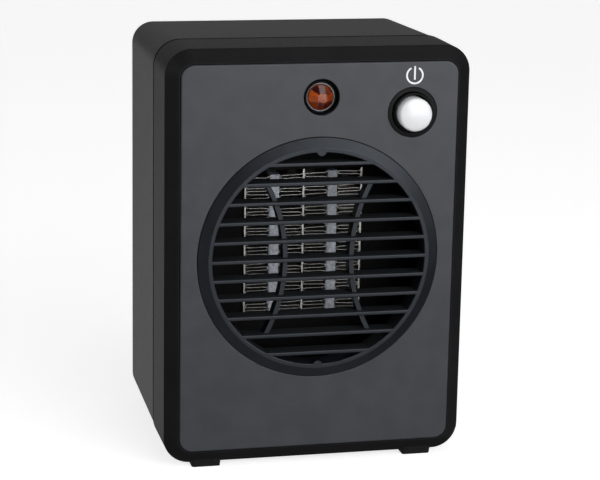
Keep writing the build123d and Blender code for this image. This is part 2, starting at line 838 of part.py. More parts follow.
# Thermal fuse: small can with a lead at each end, lying on the other side of the holder
with BuildPart() as thermal_fuse:
    with BuildSketch(Plane(origin=(-safety_x, face_y + holder_back + fuse_radius, face_z))):
        Circle(fuse_radius)
    extrude(amount=fuse_length / 2, both=True)
    with BuildSketch(Plane(origin=(-safety_x, face_y + holder_back + fuse_radius, face_z))):
        Circle(fuse_lead_radius)
    extrude(amount=fuse_length / 2 + fuse_lead_length, both=True)
save(thermal_fuse, "thermal_fuse")

# Air duct: tube round the element, cone, fan shroud, the spokes that carry the motor, and holes for leads
with BuildPart() as air_duct:
    turned([
        (duct_radius, wall_back),
        (duct_radius + duct_wall, wall_back),
        (duct_radius + duct_wall, duct_cone_start),
        (fan_duct_radius + duct_wall, duct_cone_end),
        (fan_duct_radius + duct_wall, duct_back),
        (fan_duct_radius, duct_back),
        (fan_duct_radius, duct_cone_end),
        (duct_radius - duct_ledge, duct_cone_start),
        (duct_radius - duct_ledge, holder_back),
        (duct_radius, holder_back),
    ])
    rods(motor_plate_depth, duct_back, motor_plate_radius, [(0, 0)])
    with BuildSketch(facing(motor_plate_depth)):
        for spoke in range(spoke_count):
            Rectangle(fan_duct_radius + duct_wall / 2, spoke_width, rotation=360 * spoke / spoke_count + 45,
                      align=(Align.MIN, Align.CENTER))
    extrude(amount=-motor_plate)
    rods(motor_plate_depth, duct_back, motor_plate_bore, [(0, 0)], Mode.SUBTRACT)
    rods(motor_plate_depth, duct_back, motor_screw_radius + thread_gap, screw_places, Mode.SUBTRACT)
    with BuildSketch(facing(ear_depth)):
        with Locations(*ear_places):
            Circle(ear_radius)
        for ear in range(4):
            Rectangle(ear_reach * math.sqrt(2), 2 * ear_radius, rotation=90 * ear + 45,
                      align=(Align.MIN, Align.CENTER))
        Circle(duct_radius + duct_wall / 2, mode=Mode.SUBTRACT)
        with Locations(*ear_places):
            Circle(small_screw_radius + shank_gap, mode=Mode.SUBTRACT)
    extrude(amount=-ear_thickness)
    uprights(0, duct_radius + 2 * duct_wall, lead_hole, lead_holes_up, Mode.SUBTRACT)
    uprights(-duct_radius - 2 * duct_wall, 0, lead_hole, lead_holes_down, Mode.SUBTRACT)
save(air_duct, "air_duct")

# Screws that hold the duct to the front frame
with BuildPart() as duct_screws:
    ear_seat = ear_depth + ear_thickness
    rods(ear_seat, ear_seat + small_head_height, small_head_radius, ear_places)
    rods(ear_seat - small_screw_length, ear_seat, small_screw_radius, ear_places)
save(duct_screws, "duct_screws")

# Fan: cupped hub with a boss on the shaft, and twisted blades
with BuildPart() as fan_impeller:
    turned([
        (0, fan_depth),
        (fan_hub_radius - fan_hub_wall, fan_depth),
        (fan_hub_radius, fan_depth + fan_hub_wall),
        (fan_hub_radius, fan_back),
        (fan_hub_radius - fan_hub_wall, fan_back),
        (fan_hub_radius - fan_hub_wall, fan_depth + fan_hub_wall),
        (fan_boss_radius, fan_depth + fan_hub_wall),
        (fan_boss_radius, fan_back),
        (0, fan_back),
    ])
    fan_middle = fan_depth + fan_hub_length / 2
    for blade in range(blade_count):
        angle = 2 * math.pi * blade / blade_count
        outward = (math.cos(angle), 0, math.sin(angle))
        around = (-math.sin(angle), 0, math.cos(angle))
        for radius, chord, pitch in (
            (fan_hub_radius - fan_hub_wall / 2, blade_root_chord, blade_root_pitch),
            (fan_radius + blade_thickness, blade_tip_chord, blade_tip_pitch),
        ):
            centre = (radius * outward[0], face_y + fan_middle, face_z + radius * outward[2])
            with BuildSketch(Plane(origin=centre, x_dir=around, z_dir=outward)):
                Rectangle(chord, blade_thickness, rotation=pitch)
        loft(ruled=True)
    rods(fan_depth, fan_back, fan_radius, [(0, 0)], Mode.INTERSECT)
    rods(fan_depth + fan_hub_wall, fan_back, shaft_radius + thread_gap, [(0, 0)], Mode.SUBTRACT)
save(fan_impeller, "fan_impeller")

# Motor shaft
with BuildPart() as motor_shaft:
    rods(fan_depth + fan_hub_wall, motor_back + shaft_front / 2, shaft_radius, [(0, 0)])
save(motor_shaft, "motor_shaft")

# Rotor on the shaft
with BuildPart() as motor_rotor:
    rods(core_front - rotor_overhang, core_back + rotor_overhang, rotor_radius, [(0, 0)])
    rods(core_front - rotor_overhang, core_back + rotor_overhang, shaft_radius + thread_gap,
         [(0, 0)], Mode.SUBTRACT)
save(motor_rotor, "motor_rotor")

# Stator core: laminated frame with the rotor bore above and the coil's bar below
core_middle = (core_top - core_drop) / 2
window_top = core_top - core_yoke - rotor_radius
with BuildPart() as stator_core:
    slab(core_front, core_back, core_width, core_top + core_drop, 0, core_middle)
    slab(core_front, core_back, core_width - 2 * core_leg, window_top + core_drop - core_bar,
         0, (window_top - core_drop + core_bar) / 2, Mode.SUBTRACT)
    rods(core_front, core_back, rotor_radius + rotor_gap, [(0, 0)], Mode.SUBTRACT)
    rods(core_front, core_back, motor_screw_radius + shank_gap, screw_places, Mode.SUBTRACT)
save(stator_core, "stator_core")

# Coil: bobbin on the lower bar, and the taped winding on the bobbin
coil_z = core_bar / 2 - core_drop
coil_middle = (core_front + core_back) / 2
coil_length = core_width - 2 * core_leg - 2 * fit_gap
bobbin_height = core_bar + 2 * (fit_gap + bobbin_wall)
bobbin_depth = core_thickness + 2 * (fit_gap + bobbin_wall)
flange_height = bobbin_height + 2 * winding_build
flange_depth = bobbin_depth + 2 * winding_build


def sleeve(length, height, depth, inner_height, inner_depth, x):
    # rectangular tube along X round the coil's bar
    end = Plane(origin=(x, face_y + coil_middle, face_z + coil_z), x_dir=(0, 1, 0), z_dir=(1, 0, 0))
    with BuildSketch(end) as section:
        Rectangle(depth, height)
        Rectangle(inner_depth, inner_height, mode=Mode.SUBTRACT)
    extrude(section.sketch, amount=length / 2, both=True)


bar_height = core_bar + 2 * fit_gap
bar_depth_room = core_thickness + 2 * fit_gap
with BuildPart() as coil_bobbin:
    sleeve(coil_length, bobbin_height, bobbin_depth, bar_height, bar_depth_room, 0)
    for side in (-1, 1):
        sleeve(bobbin_flange, flange_height, flange_depth, bar_height, bar_depth_room,
               side * (coil_length - bobbin_flange) / 2)
save(coil_bobbin, "coil_bobbin")

with BuildPart() as coil_winding:
    sleeve(coil_length - 2 * bobbin_flange, flange_height - 2 * winding_skin, flange_depth - 2 * winding_skin,
           bobbin_height, bobbin_depth, 0)
save(coil_winding, "coil_winding")

# Bearing brackets, with a leg on each side of the core and a boss that holds the bush
leg_x = (core_width - bracket_leg_width) / 2
boss_reach = bracket_leg - rotor_overhang - rotor_end_gap
for bracket_name, plate_front, leg_front, boss_front in (
    ("front_bracket", bracket_front, bracket_front + bracket_plate, bracket_front + bracket_plate),
    ("rear_bracket", bracket_back, core_back, bracket_back - boss_reach),
):
    with BuildPart() as bracket:
        slab(plate_front, plate_front + bracket_plate, core_width, bracket_height)
        for side in (-1, 1):
            slab(leg_front, leg_front + bracket_leg, bracket_leg_width, bracket_height, side * leg_x)
        rods(boss_front, boss_front + boss_reach, boss_radius, [(0, 0)])
        rods(plate_front - bracket_leg, plate_front + bracket_plate + bracket_leg, bush_radius + thread_gap,
             [(0, 0)], Mode.SUBTRACT)
        rods(plate_front - bracket_leg, plate_front + bracket_plate + bracket_leg, motor_screw_radius + shank_gap,
             screw_places, Mode.SUBTRACT)
    save(bracket, bracket_name)

# Sintered bushes in the two brackets
with BuildPart() as bearing_bushes:
    bush_length = bracket_plate + boss_reach
    for bush_front in (bracket_front, bracket_back - boss_reach):
        rods(bush_front, bush_front + bush_length, bush_radius, [(0, 0)])
        rods(bush_front, bush_front + bush_length, shaft_radius + shaft_gap, [(0, 0)], Mode.SUBTRACT)
save(bearing_bushes, "bearing_bushes")

# Long screws through the motor into the plate of the duct
with BuildPart() as motor_screws:
    rods(motor_back, motor_back + motor_head_height, motor_head_radius, screw_places)
    rods(motor_plate_depth, motor_back, motor_screw_radius, screw_places)
save(motor_screws, "motor_screws")

# Case screws at the bottom of the rear shell's tubes
with BuildPart() as case_screws:
    case_screw_seat = case_post_end + case_seat
    rods(case_screw_seat, case_screw_seat + case_head_height, case_head_radius, case_places)
    rods(case_post_end - case_screw_reach, case_screw_seat, case_screw_radius, case_places)
save(case_screws, "case_screws")

# Cord gland with its bore, and the nut that holds it inside the back wall
with BuildPart() as cord_gland:
    turned([
        (gland_bore, back_inside - gland_reach),
        (gland_barrel, back_inside - gland_reach),
        (gland_barrel, back_depth),
        (gland_flange, back_depth),
        (gland_flange, back_depth + gland_proud - gland_mouth),
        (gland_flange - gland_mouth, back_depth + gland_proud),
        (gland_bore, back_depth + gland_proud),
    ], gland_x, gland_z)
save(cord_gland, "cord_gland")

with BuildPart() as gland_nut:
    with BuildSketch(facing(back_inside - gland_nut_height, gland_x, gland_z)):
        RegularPolygon(gland_nut_size, 6)
        Circle(gland_barrel + fit_gap, mode=Mode.SUBTRACT)
    extrude(amount=-gland_nut_height)
save(gland_nut, "gland_nut")

# Terminal block on its boss, with a pocket for a lead on each side of its screw
terminal_place = [(terminal_x, terminal_z)]
terminal_ways = [(terminal_x + i * terminal_pitch, terminal_z) for i in (-1, 1)]
with BuildPart() as terminal_block:
    slab(terminal_front, back_inside, terminal_width, terminal_height, terminal_x, terminal_z)
    rods(back_inside - terminal_boss_length, back_inside, terminal_boss_radius + fit_gap,
         terminal_place, Mode.SUBTRACT)
    rods(terminal_front, back_inside, small_screw_radius + shank_gap, terminal_place, Mode.SUBTRACT)
    rods(terminal_front, terminal_front + terminal_pocket, lead_radius + fit_gap,
         terminal_ways, Mode.SUBTRACT)
save(terminal_block, "terminal_block")

with BuildPart() as terminal_screw:
    rods(terminal_front - small_head_height, terminal_front, small_head_radius, terminal_place)
    rods(terminal_front, back_inside - terminal_screw_gap, small_screw_radius, terminal_place)
save(terminal_screw, "terminal_screw")

# Lead from the terminal block up the side of the casing to the switch
side_x = body_width / 2 - wall - lead_side
run_depth = (duct_cone_end + duct_back) / 2
pocket_end = terminal_front + terminal_pocket
with BuildPart() as lead_supply:
    lead(
        (terminal_x + terminal_pitch, pocket_end, terminal_z),
        (terminal_x + terminal_pitch, run_depth, terminal_z),
        (side_x, run_depth, terminal_z),
        (side_x + lead_bow, run_depth, 0),
        (side_x, run_depth, button_z - switch_height),
        (button_x + tab_spread / 2, run_depth, button_z),
        (button_x + tab_spread / 2, switch_end + tab_length, button_z),
    )
save(lead_supply, "lead_supply")

# Lead from the switch down through the duct to the thermostat
switch_lead_x = button_x - tab_spread / 2
switch_tab_low = button_z - tab_width / 2
with BuildPart() as lead_thermostat:
    lead(
        (switch_lead_x, switch_tab_depth, switch_tab_low),
        (switch_lead_x, switch_tab_depth, switch_tab_low - tab_width / 2),
        (safety_lead_x, safety_tab_depth, switch_tab_low - slack_tabs * tab_width),
        (safety_lead_x, safety_tab_depth, (thermostat_radius + tab_thickness) / 2),
    )
save(lead_thermostat, "lead_thermostat")

# Lead from the thermostat behind the element to the fuse
fuse_depth = holder_back + fuse_radius
fuse_end = fuse_length / 2 + fuse_lead_length
cross_depth = element_back + skirt_ledge_depth + lead_clear
fuse_loop = fuse_end + loop_turns * lead_turn
cross_z = -(thermostat_radius + tab_thickness) / 2 - drop_turns * lead_turn
with BuildPart() as lead_fuse:
    lead(
        (safety_lead_x, safety_tab_depth, -(thermostat_radius + tab_thickness) / 2),
        (safety_lead_x, safety_tab_depth, cross_z),
        (plate_x, cross_depth, cross_z),
        (-skirt_half_width, cross_depth, cross_z),
        (-safety_x, cross_depth, -fuse_loop),
        (-safety_x, fuse_depth, -fuse_loop),
        (-safety_x, fuse_depth, -fuse_end),
    )
save(lead_fuse, "lead_fuse")

# Lead from the fuse to the middle contact plate
with BuildPart() as lead_element:
    lead(
        (-safety_x, fuse_depth, fuse_end),
        (-safety_x, fuse_depth, fuse_loop),
        (-safety_x, tab_depth, fuse_loop),
        (-plate_x / 2, tab_depth, tab_z),
        (-plate_thickness / 2, tab_depth, tab_z),
    )
save(lead_element, "lead_element")

# Lead from the terminal block up through the duct to the left contact plate
with BuildPart() as lead_neutral:
    lead(
        (terminal_x - terminal_pitch, pocket_end, terminal_z),
        (terminal_x - terminal_pitch, duct_back, terminal_z),
        (-plate_x, tab_depth, terminal_z),
        (-plate_x, tab_depth, -tab_z - tab_width / 2),
    )
save(lead_neutral, "lead_neutral")

# Straight link between the two outer contact plates
with BuildPart() as lead_link:
    link_end = Plane(origin=(plate_thickness / 2 - plate_x, face_y + tab_depth, face_z - tab_z),
                     x_dir=(0, 1, 0), z_dir=(1, 0, 0))
    with BuildSketch(link_end):
        Circle(lead_radius)
    extrude(amount=2 * plate_x - plate_thickness)
save(lead_link, "lead_link")

# Two short leads from the winding down to the terminal block
with BuildPart() as leads_motor:
    coil_low = coil_z - flange_height / 2 + winding_skin
    coil_end = coil_middle + flange_depth / 2 - winding_skin
    motor_lead_depth = (terminal_front + coil_end) / 2
    uprights(terminal_z + terminal_height / 2, coil_low, lead_radius,
             [(terminal_x + i * motor_lead_spread, motor_lead_depth) for i in (-1, 1)])
save(leads_motor, "leads_motor")

# Two leads of the pilot lamp, one to the switch and one through the duct to the right contact plate
with BuildPart() as leads_lamp:
    lamp_lead_start = lamp_base_depth + lamp_base_thickness
    lamp_lead_turn = holder_length + 2 * lead_turn
    lead(
        (lens_x, lamp_lead_start, lens_z + lamp_lead_spread),
        (lens_x, lamp_lead_turn, lens_z + lamp_lead_spread),
        (switch_lead_x / 2, switch_tab_depth, switch_tab_low + arch_tabs * tab_width),
        (switch_lead_x, switch_tab_depth, switch_tab_low + arch_tabs * tab_width),
        (switch_lead_x, switch_tab_depth, switch_tab_low + tab_width),
    )
    lead(
        (lens_x, lamp_lead_start, lens_z - lamp_lead_spread),
        (lens_x, lamp_lead_turn, lens_z - lamp_lead_spread),
        (plate_x, tab_depth, button_z),
        (plate_x, tab_depth, tab_width / 2 - tab_z),
    )
save(leads_lamp, "leads_lamp")
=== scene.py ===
import bpy
import numpy as np
from mathutils import Matrix, Vector


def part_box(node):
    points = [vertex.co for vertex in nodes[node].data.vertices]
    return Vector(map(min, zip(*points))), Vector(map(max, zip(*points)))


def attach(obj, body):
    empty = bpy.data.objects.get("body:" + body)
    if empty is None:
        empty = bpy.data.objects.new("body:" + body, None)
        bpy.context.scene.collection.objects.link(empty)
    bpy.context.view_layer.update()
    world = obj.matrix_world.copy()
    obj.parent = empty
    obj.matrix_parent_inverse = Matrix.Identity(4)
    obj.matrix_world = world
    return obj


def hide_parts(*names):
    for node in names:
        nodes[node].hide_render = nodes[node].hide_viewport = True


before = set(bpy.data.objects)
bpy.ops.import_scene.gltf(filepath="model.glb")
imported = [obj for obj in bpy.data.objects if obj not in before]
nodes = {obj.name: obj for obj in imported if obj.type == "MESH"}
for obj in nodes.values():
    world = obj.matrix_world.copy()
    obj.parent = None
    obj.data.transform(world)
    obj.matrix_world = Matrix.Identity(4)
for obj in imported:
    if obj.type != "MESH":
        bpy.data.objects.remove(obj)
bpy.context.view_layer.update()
mm = 0.001
rng = np.random.default_rng(47)
print("frame loaded:", len(nodes), "nodes")

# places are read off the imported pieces: the middle of the face, and how far forward it stands
panelLow, panelHigh = (np.array(corner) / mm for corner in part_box("face_panel"))
faceX, faceY, faceZ = (panelLow[0] + panelHigh[0]) / 2, panelLow[1], (panelLow[2] + panelHigh[2]) / 2


# mesh and material helpers

def gridFaces(rows, columns, wrapRows=False, wrapColumns=False):
    # quads between neighbours of a rows x columns grid of points, numbered row by row
    r = np.arange(rows if wrapRows else rows - 1)[:, None]
    c = np.arange(columns if wrapColumns else columns - 1)[None, :]
    nextR, nextC = (r + 1) % rows, (c + 1) % columns
    corners = [r * columns + c, r * columns + nextC, nextR * columns + nextC, nextR * columns + c]
    return np.stack([np.broadcast_to(k, (r.size, c.size)) for k in corners], axis=-1).reshape(-1, 4)


def carriedBar(path, across, upright, profile, closed=False):
    # profile carried along a path: each path point adds u times its across vector
    # and v times its upright vector
    points = path[:, None] + profile[None, :, :1] * across[:, None] + profile[None, :, 1:] * upright[:, None]
    rows, columns = points.shape[:2]
    faces = gridFaces(rows, columns, closed, True).tolist()
    if not closed:
        faces += [list(range(columns))[::-1], list(range((rows - 1) * columns, rows * columns))]
    return points.reshape(-1, 3), faces


def turnedShell(outline, centreX, centreZ, steps):
    # closed outline of (radius, depth) points turned once round a line that runs front to back
    angle = np.linspace(0, 2 * np.pi, steps, endpoint=False)[:, None]
    radius, depth = outline[None, :, 0], outline[None, :, 1]
    x = centreX + radius * np.cos(angle)
    z = centreZ + radius * np.sin(angle)
    y = np.broadcast_to(faceY + depth, x.shape)
    points = np.stack([x, y, z], axis=-1)
    return points.reshape(-1, 3), gridFaces(steps, outline.shape[0], True, True).tolist()


def softSquare(steps, power):
    # outline between a circle and a square, one unit each way: the sum of cosine and sine,
    # each raised to the power, is brought to one
    turn = np.linspace(0, 2 * np.pi, steps, endpoint=False)
    swell = (np.abs(np.cos(turn)) ** power + np.abs(np.sin(turn)) ** power) ** (-1 / power)
    return np.stack([np.cos(turn), np.sin(turn)], axis=-1) * swell[:, None]


# section of a sheet or a print, one unit each way
flatSection = np.array([(-0.5, 0), (0.5, 0), (0.5, 1), (-0.5, 1)])


def makePiece(name, parts, material, body="housing", replaced=(), smoothAngle=40, facetLight=None):
    # one object from surfaces given in millimetres, faces turned outwards, riding on its body
    points, faces, count = [], [], 0
    for partPoints, partFaces in parts:
        points.append(partPoints)
        faces += [[k + count for k in face] for face in partFaces]
        count += len(partPoints)
    mesh = bpy.data.meshes.new(name)
    mesh.from_pydata((np.concatenate(points) * mm).tolist(), [], faces)
    mesh.validate()
    piece = bpy.data.objects.new(name, mesh)
    # facetLight, where given, is painted light kept on the points for the finish to read
    if facetLight is not None:
        mesh.attributes.new("facetLight", "FLOAT", "POINT").data.foreach_set("value", facetLight.reshape(-1))
    bpy.context.scene.collection.objects.link(piece)
    bpy.ops.object.select_all(action="DESELECT")
    bpy.context.view_layer.objects.active = piece
    piece.select_set(True)
    bpy.ops.object.mode_set(mode="EDIT")
    bpy.ops.mesh.select_all(action="SELECT")
    bpy.ops.mesh.remove_doubles(threshold=0.001 * mm)
    bpy.ops.mesh.normals_make_consistent(inside=False)
    bpy.ops.object.mode_set(mode="OBJECT")
    bpy.ops.object.shade_smooth_by_angle(angle=np.radians(smoothAngle))
    piece.select_set(False)
    mesh.materials.append(material)
    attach(piece, body)
    if replaced:
        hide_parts(*replaced)


def linear(hexColour):
    # sRGB hex to a linear RGBA colour
    part = np.array([int(hexColour[k:k + 2], 16) for k in (1, 3, 5)]) / 255
    part = np.where(part <= 0.04045, part / 12.92, ((part + 0.055) / 1.055) ** 2.4)
    return (*part.tolist(), 1.0)


def addNode(tree, kind, inputs=None, **settings):
    # a node with its settings; an input is a plain value or the socket it is fed from
    node = tree.nodes.new(kind)
    for key, value in settings.items():
        setattr(node, key, value)
    for key, value in (inputs or {}).items():
        if isinstance(value, bpy.types.NodeSocket):
            tree.links.new(value, node.inputs[key])
        else:
            node.inputs[key].default_value = value
    return node


def startMaterial(name, **constants):
    # material with one principled shader whose even values are set on its own sockets
    material = bpy.data.materials.new(name)
    material.use_nodes = True
    tree = material.node_tree
    shader = tree.nodes["Principled BSDF"]
    for key, value in constants.items():
        shader.inputs[key.replace("_", " ")].default_value = value
    coords = addNode(tree, "ShaderNodeTexCoord").outputs["Object"]
    return material, tree, shader, coords


# between these two most of a noise's values lie, for the drift of a colour and for a fine grain
cloudLow, cloudHigh = 0.35, 0.65
grainLow, grainHigh = 0.3, 0.7


def mouldedPlastic(name, dark, light, cloudMm, grainMm, grainHeightMm, roughLow, roughHigh, **constants):
    # moulded plastic: colour drifts between two close tones, and a fine grain carries both gloss and relief
    material, tree, shader, coords = startMaterial(name, **constants)
    cloud = addNode(tree, "ShaderNodeTexNoise", {"Vector": coords, "Scale": 1 / (cloudMm * mm),
                                                 "Detail": 4.0})
    grain = addNode(tree, "ShaderNodeTexNoise", {"Vector": coords, "Scale": 1 / (grainMm * mm),
                                                 "Detail": 2.0})
    spread = addNode(tree, "ShaderNodeMapRange", {"Value": cloud.outputs["Fac"], "From Min": cloudLow,
                                                  "From Max": cloudHigh})
    tone = addNode(tree, "ShaderNodeMix", {"Factor": spread.outputs["Result"], "A": linear(dark),
                                           "B": linear(light)}, data_type="RGBA")
    gloss = addNode(tree, "ShaderNodeMapRange", {"Value": grain.outputs["Fac"], "From Min": grainLow,
                                                 "From Max": grainHigh, "To Min": roughLow,
                                                 "To Max": roughHigh})
    relief = addNode(tree, "ShaderNodeBump", {"Height": grain.outputs["Fac"], "Distance": grainHeightMm * mm,
                                              "Strength": 1.0})
    tree.links.new(tone.outputs["Result"], shader.inputs["Base Color"])
    tree.links.new(gloss.outputs["Result"], shader.inputs["Roughness"])
    tree.links.new(relief.outputs["Normal"], shader.inputs["Normal"])
    return material


def rolledMetal(name, dark, light, streakMm, lengthMm, roughLow, roughHigh):
    # rolled or drawn metal: fine streaks along Z, brighter and duller by turns
    material, tree, shader, coords = startMaterial(name, Metallic=1.0)
    stretch = addNode(tree, "ShaderNodeMapping", {"Vector": coords, "Scale": (1.0, 1.0, streakMm / lengthMm)})
    streak = addNode(tree, "ShaderNodeTexNoise", {"Vector": stretch.outputs["Vector"],
                                                  "Scale": 1 / (streakMm * mm), "Detail": 3.0})
    spread = addNode(tree, "ShaderNodeMapRange", {"Value": streak.outputs["Fac"], "From Min": cloudLow,
                                                  "From Max": cloudHigh})
    tone = addNode(tree, "ShaderNodeMix", {"Factor": spread.outputs["Result"], "A": linear(dark),
                                           "B": linear(light)}, data_type="RGBA")
    gloss = addNode(tree, "ShaderNodeMapRange", {"Value": streak.outputs["Fac"], "From Min": grainLow,
                                                 "From Max": grainHigh, "To Min": roughLow,
                                                 "To Max": roughHigh})
    tree.links.new(tone.outputs["Result"], shader.inputs["Base Color"])
    tree.links.new(gloss.outputs["Result"], shader.inputs["Roughness"])
    return material


# finishes

# black ABS, moulded on a fine spark-eroded tool: even, matt, a little blue
frameAbs = mouldedPlastic("frameAbs", "#0e0e10", "#121214", 14, 0.45, 0.03, 0.5, 0.62, IOR=1.53,
                          Specular_IOR_Level=0.14)
# the same ABS on a coarser tool: greyer sheen at low angles
shellAbs = mouldedPlastic("shellAbs", "#1a1b1d", "#1f2022", 18, 0.55, 0.05, 0.5, 0.64, IOR=1.53,
                          Specular_IOR_Level=0.36)
# ABS plate under satin grey paint: faint clouds in the tone, grain only just there
panelPaint = mouldedPlastic("panelPaint", "#292c33", "#323339", 8, 0.4, 0.012, 0.42, 0.52, IOR=1.5)
# glass-filled nylon of the grille: smooth, blue-black, soft highlights
grilleNylon = mouldedPlastic("grilleNylon", "#0f1013", "#14161b", 9, 0.4, 0.012, 0.35, 0.44, IOR=1.53,
                             Specular_IOR_Level=0.42, Specular_Tint=(0.82, 0.9, 1.0, 1.0))

# the louvres' flat tops are painted near-black for the shade they lie in, and made duller than the smooth
# fronts; the painted shade lies where the height is within half a louvre of a louvre's middle, behind the
# fronts and inside the ring
louvres = {"pitch": 6.9, "shadeLow": 0.695, "shadeHigh": 0.775, "shadeFront": -1.65, "shadeBack": -1.3,
           "reach": 38.7, "louvreShade": "#020203", "coarser": 0.42}
tree = grilleNylon.node_tree
shader = tree.nodes["Principled BSDF"]
coords = addNode(tree, "ShaderNodeTexCoord").outputs["Object"]
fromMiddle = addNode(tree, "ShaderNodeVectorMath", {0: coords, 1: (-faceX * mm, -faceY * mm, -faceZ * mm)},
                     operation="ADD")
place = addNode(tree, "ShaderNodeSeparateXYZ", {"Vector": fromMiddle.outputs["Vector"]})
away = addNode(tree, "ShaderNodeMath", {0: place.outputs["Z"], 1: louvres["pitch"] / 2 * mm},
               operation="PINGPONG")
onLouvre = addNode(tree, "ShaderNodeMapRange", {"Value": away.outputs["Value"],
                                                "From Min": louvres["shadeLow"] * mm,
                                                "From Max": louvres["shadeHigh"] * mm,
                                                "To Min": 1.0, "To Max": 0.0})
behind = addNode(tree, "ShaderNodeMapRange", {"Value": place.outputs["Y"],
                                              "From Min": louvres["shadeFront"] * mm,
                                              "From Max": louvres["shadeBack"] * mm})
level = addNode(tree, "ShaderNodeVectorMath", {0: fromMiddle.outputs["Vector"], 1: (1.0, 0.0, 1.0)},
                operation="MULTIPLY")
span = addNode(tree, "ShaderNodeVectorMath", {0: level.outputs["Vector"]}, operation="LENGTH")
inside = addNode(tree, "ShaderNodeMath", {0: span.outputs["Value"], 1: louvres["reach"] * mm},
                 operation="LESS_THAN")
topFace = addNode(tree, "ShaderNodeMath", {0: onLouvre.outputs["Result"], 1: behind.outputs["Result"]},
                  operation="MULTIPLY")
# mask of the painted shade on the louvre tops
louvreShade = addNode(tree, "ShaderNodeMath", {0: topFace.outputs["Value"], 1: inside.outputs["Value"]},
               operation="MULTIPLY")
smoothTone = shader.inputs["Base Color"].links[0].from_socket
smoothGloss = shader.inputs["Roughness"].links[0].from_socket
# painted shade: the louvre tops take a near-black tone instead of the smooth nylon's
tone = addNode(tree, "ShaderNodeMix", {"Factor": louvreShade.outputs["Value"], "A": smoothTone,
                                       "B": linear(louvres["louvreShade"])}, data_type="RGBA")
gloss = addNode(tree, "ShaderNodeMath", {0: louvreShade.outputs["Value"], 1: louvres["coarser"], 2: smoothGloss},
                operation="MULTIPLY_ADD", use_clamp=True)
tree.links.new(tone.outputs["Result"], shader.inputs["Base Color"])
tree.links.new(gloss.outputs["Value"], shader.inputs["Roughness"])

# rubber feet: dull, speckled
footRubber = mouldedPlastic("footRubber", "#0b0b0c", "#151515", 0.9, 0.5, 0.06, 0.7, 0.9, IOR=1.52,
                            Specular_IOR_Level=0.2)
# painted shadow of the seam: flat black with no gloss at all, so it stays as dark as the shadow gap between
# frame and shell
seamShadowBlack = mouldedPlastic("seamShadowBlack", "#040405", "#0a0a0b", 1.5, 0.4, 0.05, 0.9, 1.0, IOR=1.3,
                           Specular_IOR_Level=0.0)
# white ABS from a polished tool: bright and glossy, almost no grain
buttonGloss = mouldedPlastic("buttonGloss", "#eef1f6", "#f2f5fa", 6, 1.2, 0.003, 0.16, 0.22, IOR=1.53,
                             Subsurface_Weight=0.8, Subsurface_Scale=3.5 * mm,
                             Subsurface_Radius=(1.0, 1.0, 1.0))
# black ABS from a polished tool: deep black dish round the button
collarGloss = mouldedPlastic("collarGloss", "#070708", "#0b0b0c", 5, 0.9, 0.002, 0.1, 0.16, IOR=1.53,
                             Specular_IOR_Level=0.07)
# dull black inner mouldings
innerBlack = mouldedPlastic("innerBlack", "#08080a", "#0c0c0e", 8, 0.5, 0.03, 0.6, 0.75, IOR=1.53,
                            Specular_IOR_Level=0.1)
# heat-resistant white inner mouldings: slightly cream, matt
innerWhite = mouldedPlastic("innerWhite", "#d9d5c9", "#e5e2d8", 9, 0.6, 0.02, 0.4, 0.55, IOR=1.6)
# silicone sleeve of the leads: soft white, waxy
leadSilicone = mouldedPlastic("leadSilicone", "#d5d3cd", "#e2e0da", 4, 0.5, 0.01, 0.4, 0.5, IOR=1.43)
# tape round the winding: dull yellow, slightly glossy film
windingTape = mouldedPlastic("windingTape", "#a8801f", "#b98e2b", 3, 0.7, 0.02, 0.25, 0.4, IOR=1.5)
# ceramic strips: pale blue-grey, mottled where the metal coat is worn
ptcCeramic = mouldedPlastic("ptcCeramic", "#a4acb8", "#d2d7de", 1.1, 0.45, 0.03, 0.5, 0.7, IOR=1.7)
# white screen-printing ink of the power sign
signInk = mouldedPlastic("signInk", "#e6e7e8", "#f1f2f3", 1.5, 0.3, 0.004, 0.45, 0.6, IOR=1.48)

# thin rolled aluminium of the fins and contact plates: bright, faintly streaked
finAluminium = rolledMetal("finAluminium", "#9b9a97", "#c5c3bf", 0.5, 3, 0.3, 0.45)
# zinc-plated steel of screws, brackets, thermostat and fuse
platedSteel = rolledMetal("platedSteel", "#a9aaac", "#c6c7c9", 0.6, 4, 0.25, 0.4)
# stamped lamination steel: dark, dull
laminationSteel = rolledMetal("laminationSteel", "#5a5b5e", "#77787b", 0.5, 0.5, 0.4, 0.6)
# dull nickel of the ring round the lens
bezelNickel = rolledMetal("bezelNickel", "#5e5f64", "#77787d", 0.4, 2, 0.3, 0.42)
# brass of terminals and bushes
turnedBrass = rolledMetal("turnedBrass", "#b08a3e", "#c9a455", 0.5, 2, 0.25, 0.4)

# amber polycarbonate of the pilot lens: polished; the amber is the lens's own colour, but how dark or bright
# each cut face is, from dark red to orange, is painted light standing in for the light the lens gathers and
# bends, with a faint swirl
amber = {"swirl": 1.4, "uneven": 0.14, "deep": "#360306", "bright": "#d8600a",
         "roughLow": 0.05, "roughHigh": 0.12}
lensAmber, tree, shader, coords = startMaterial("lensAmber", IOR=1.58, Transmission_Weight=0.3)
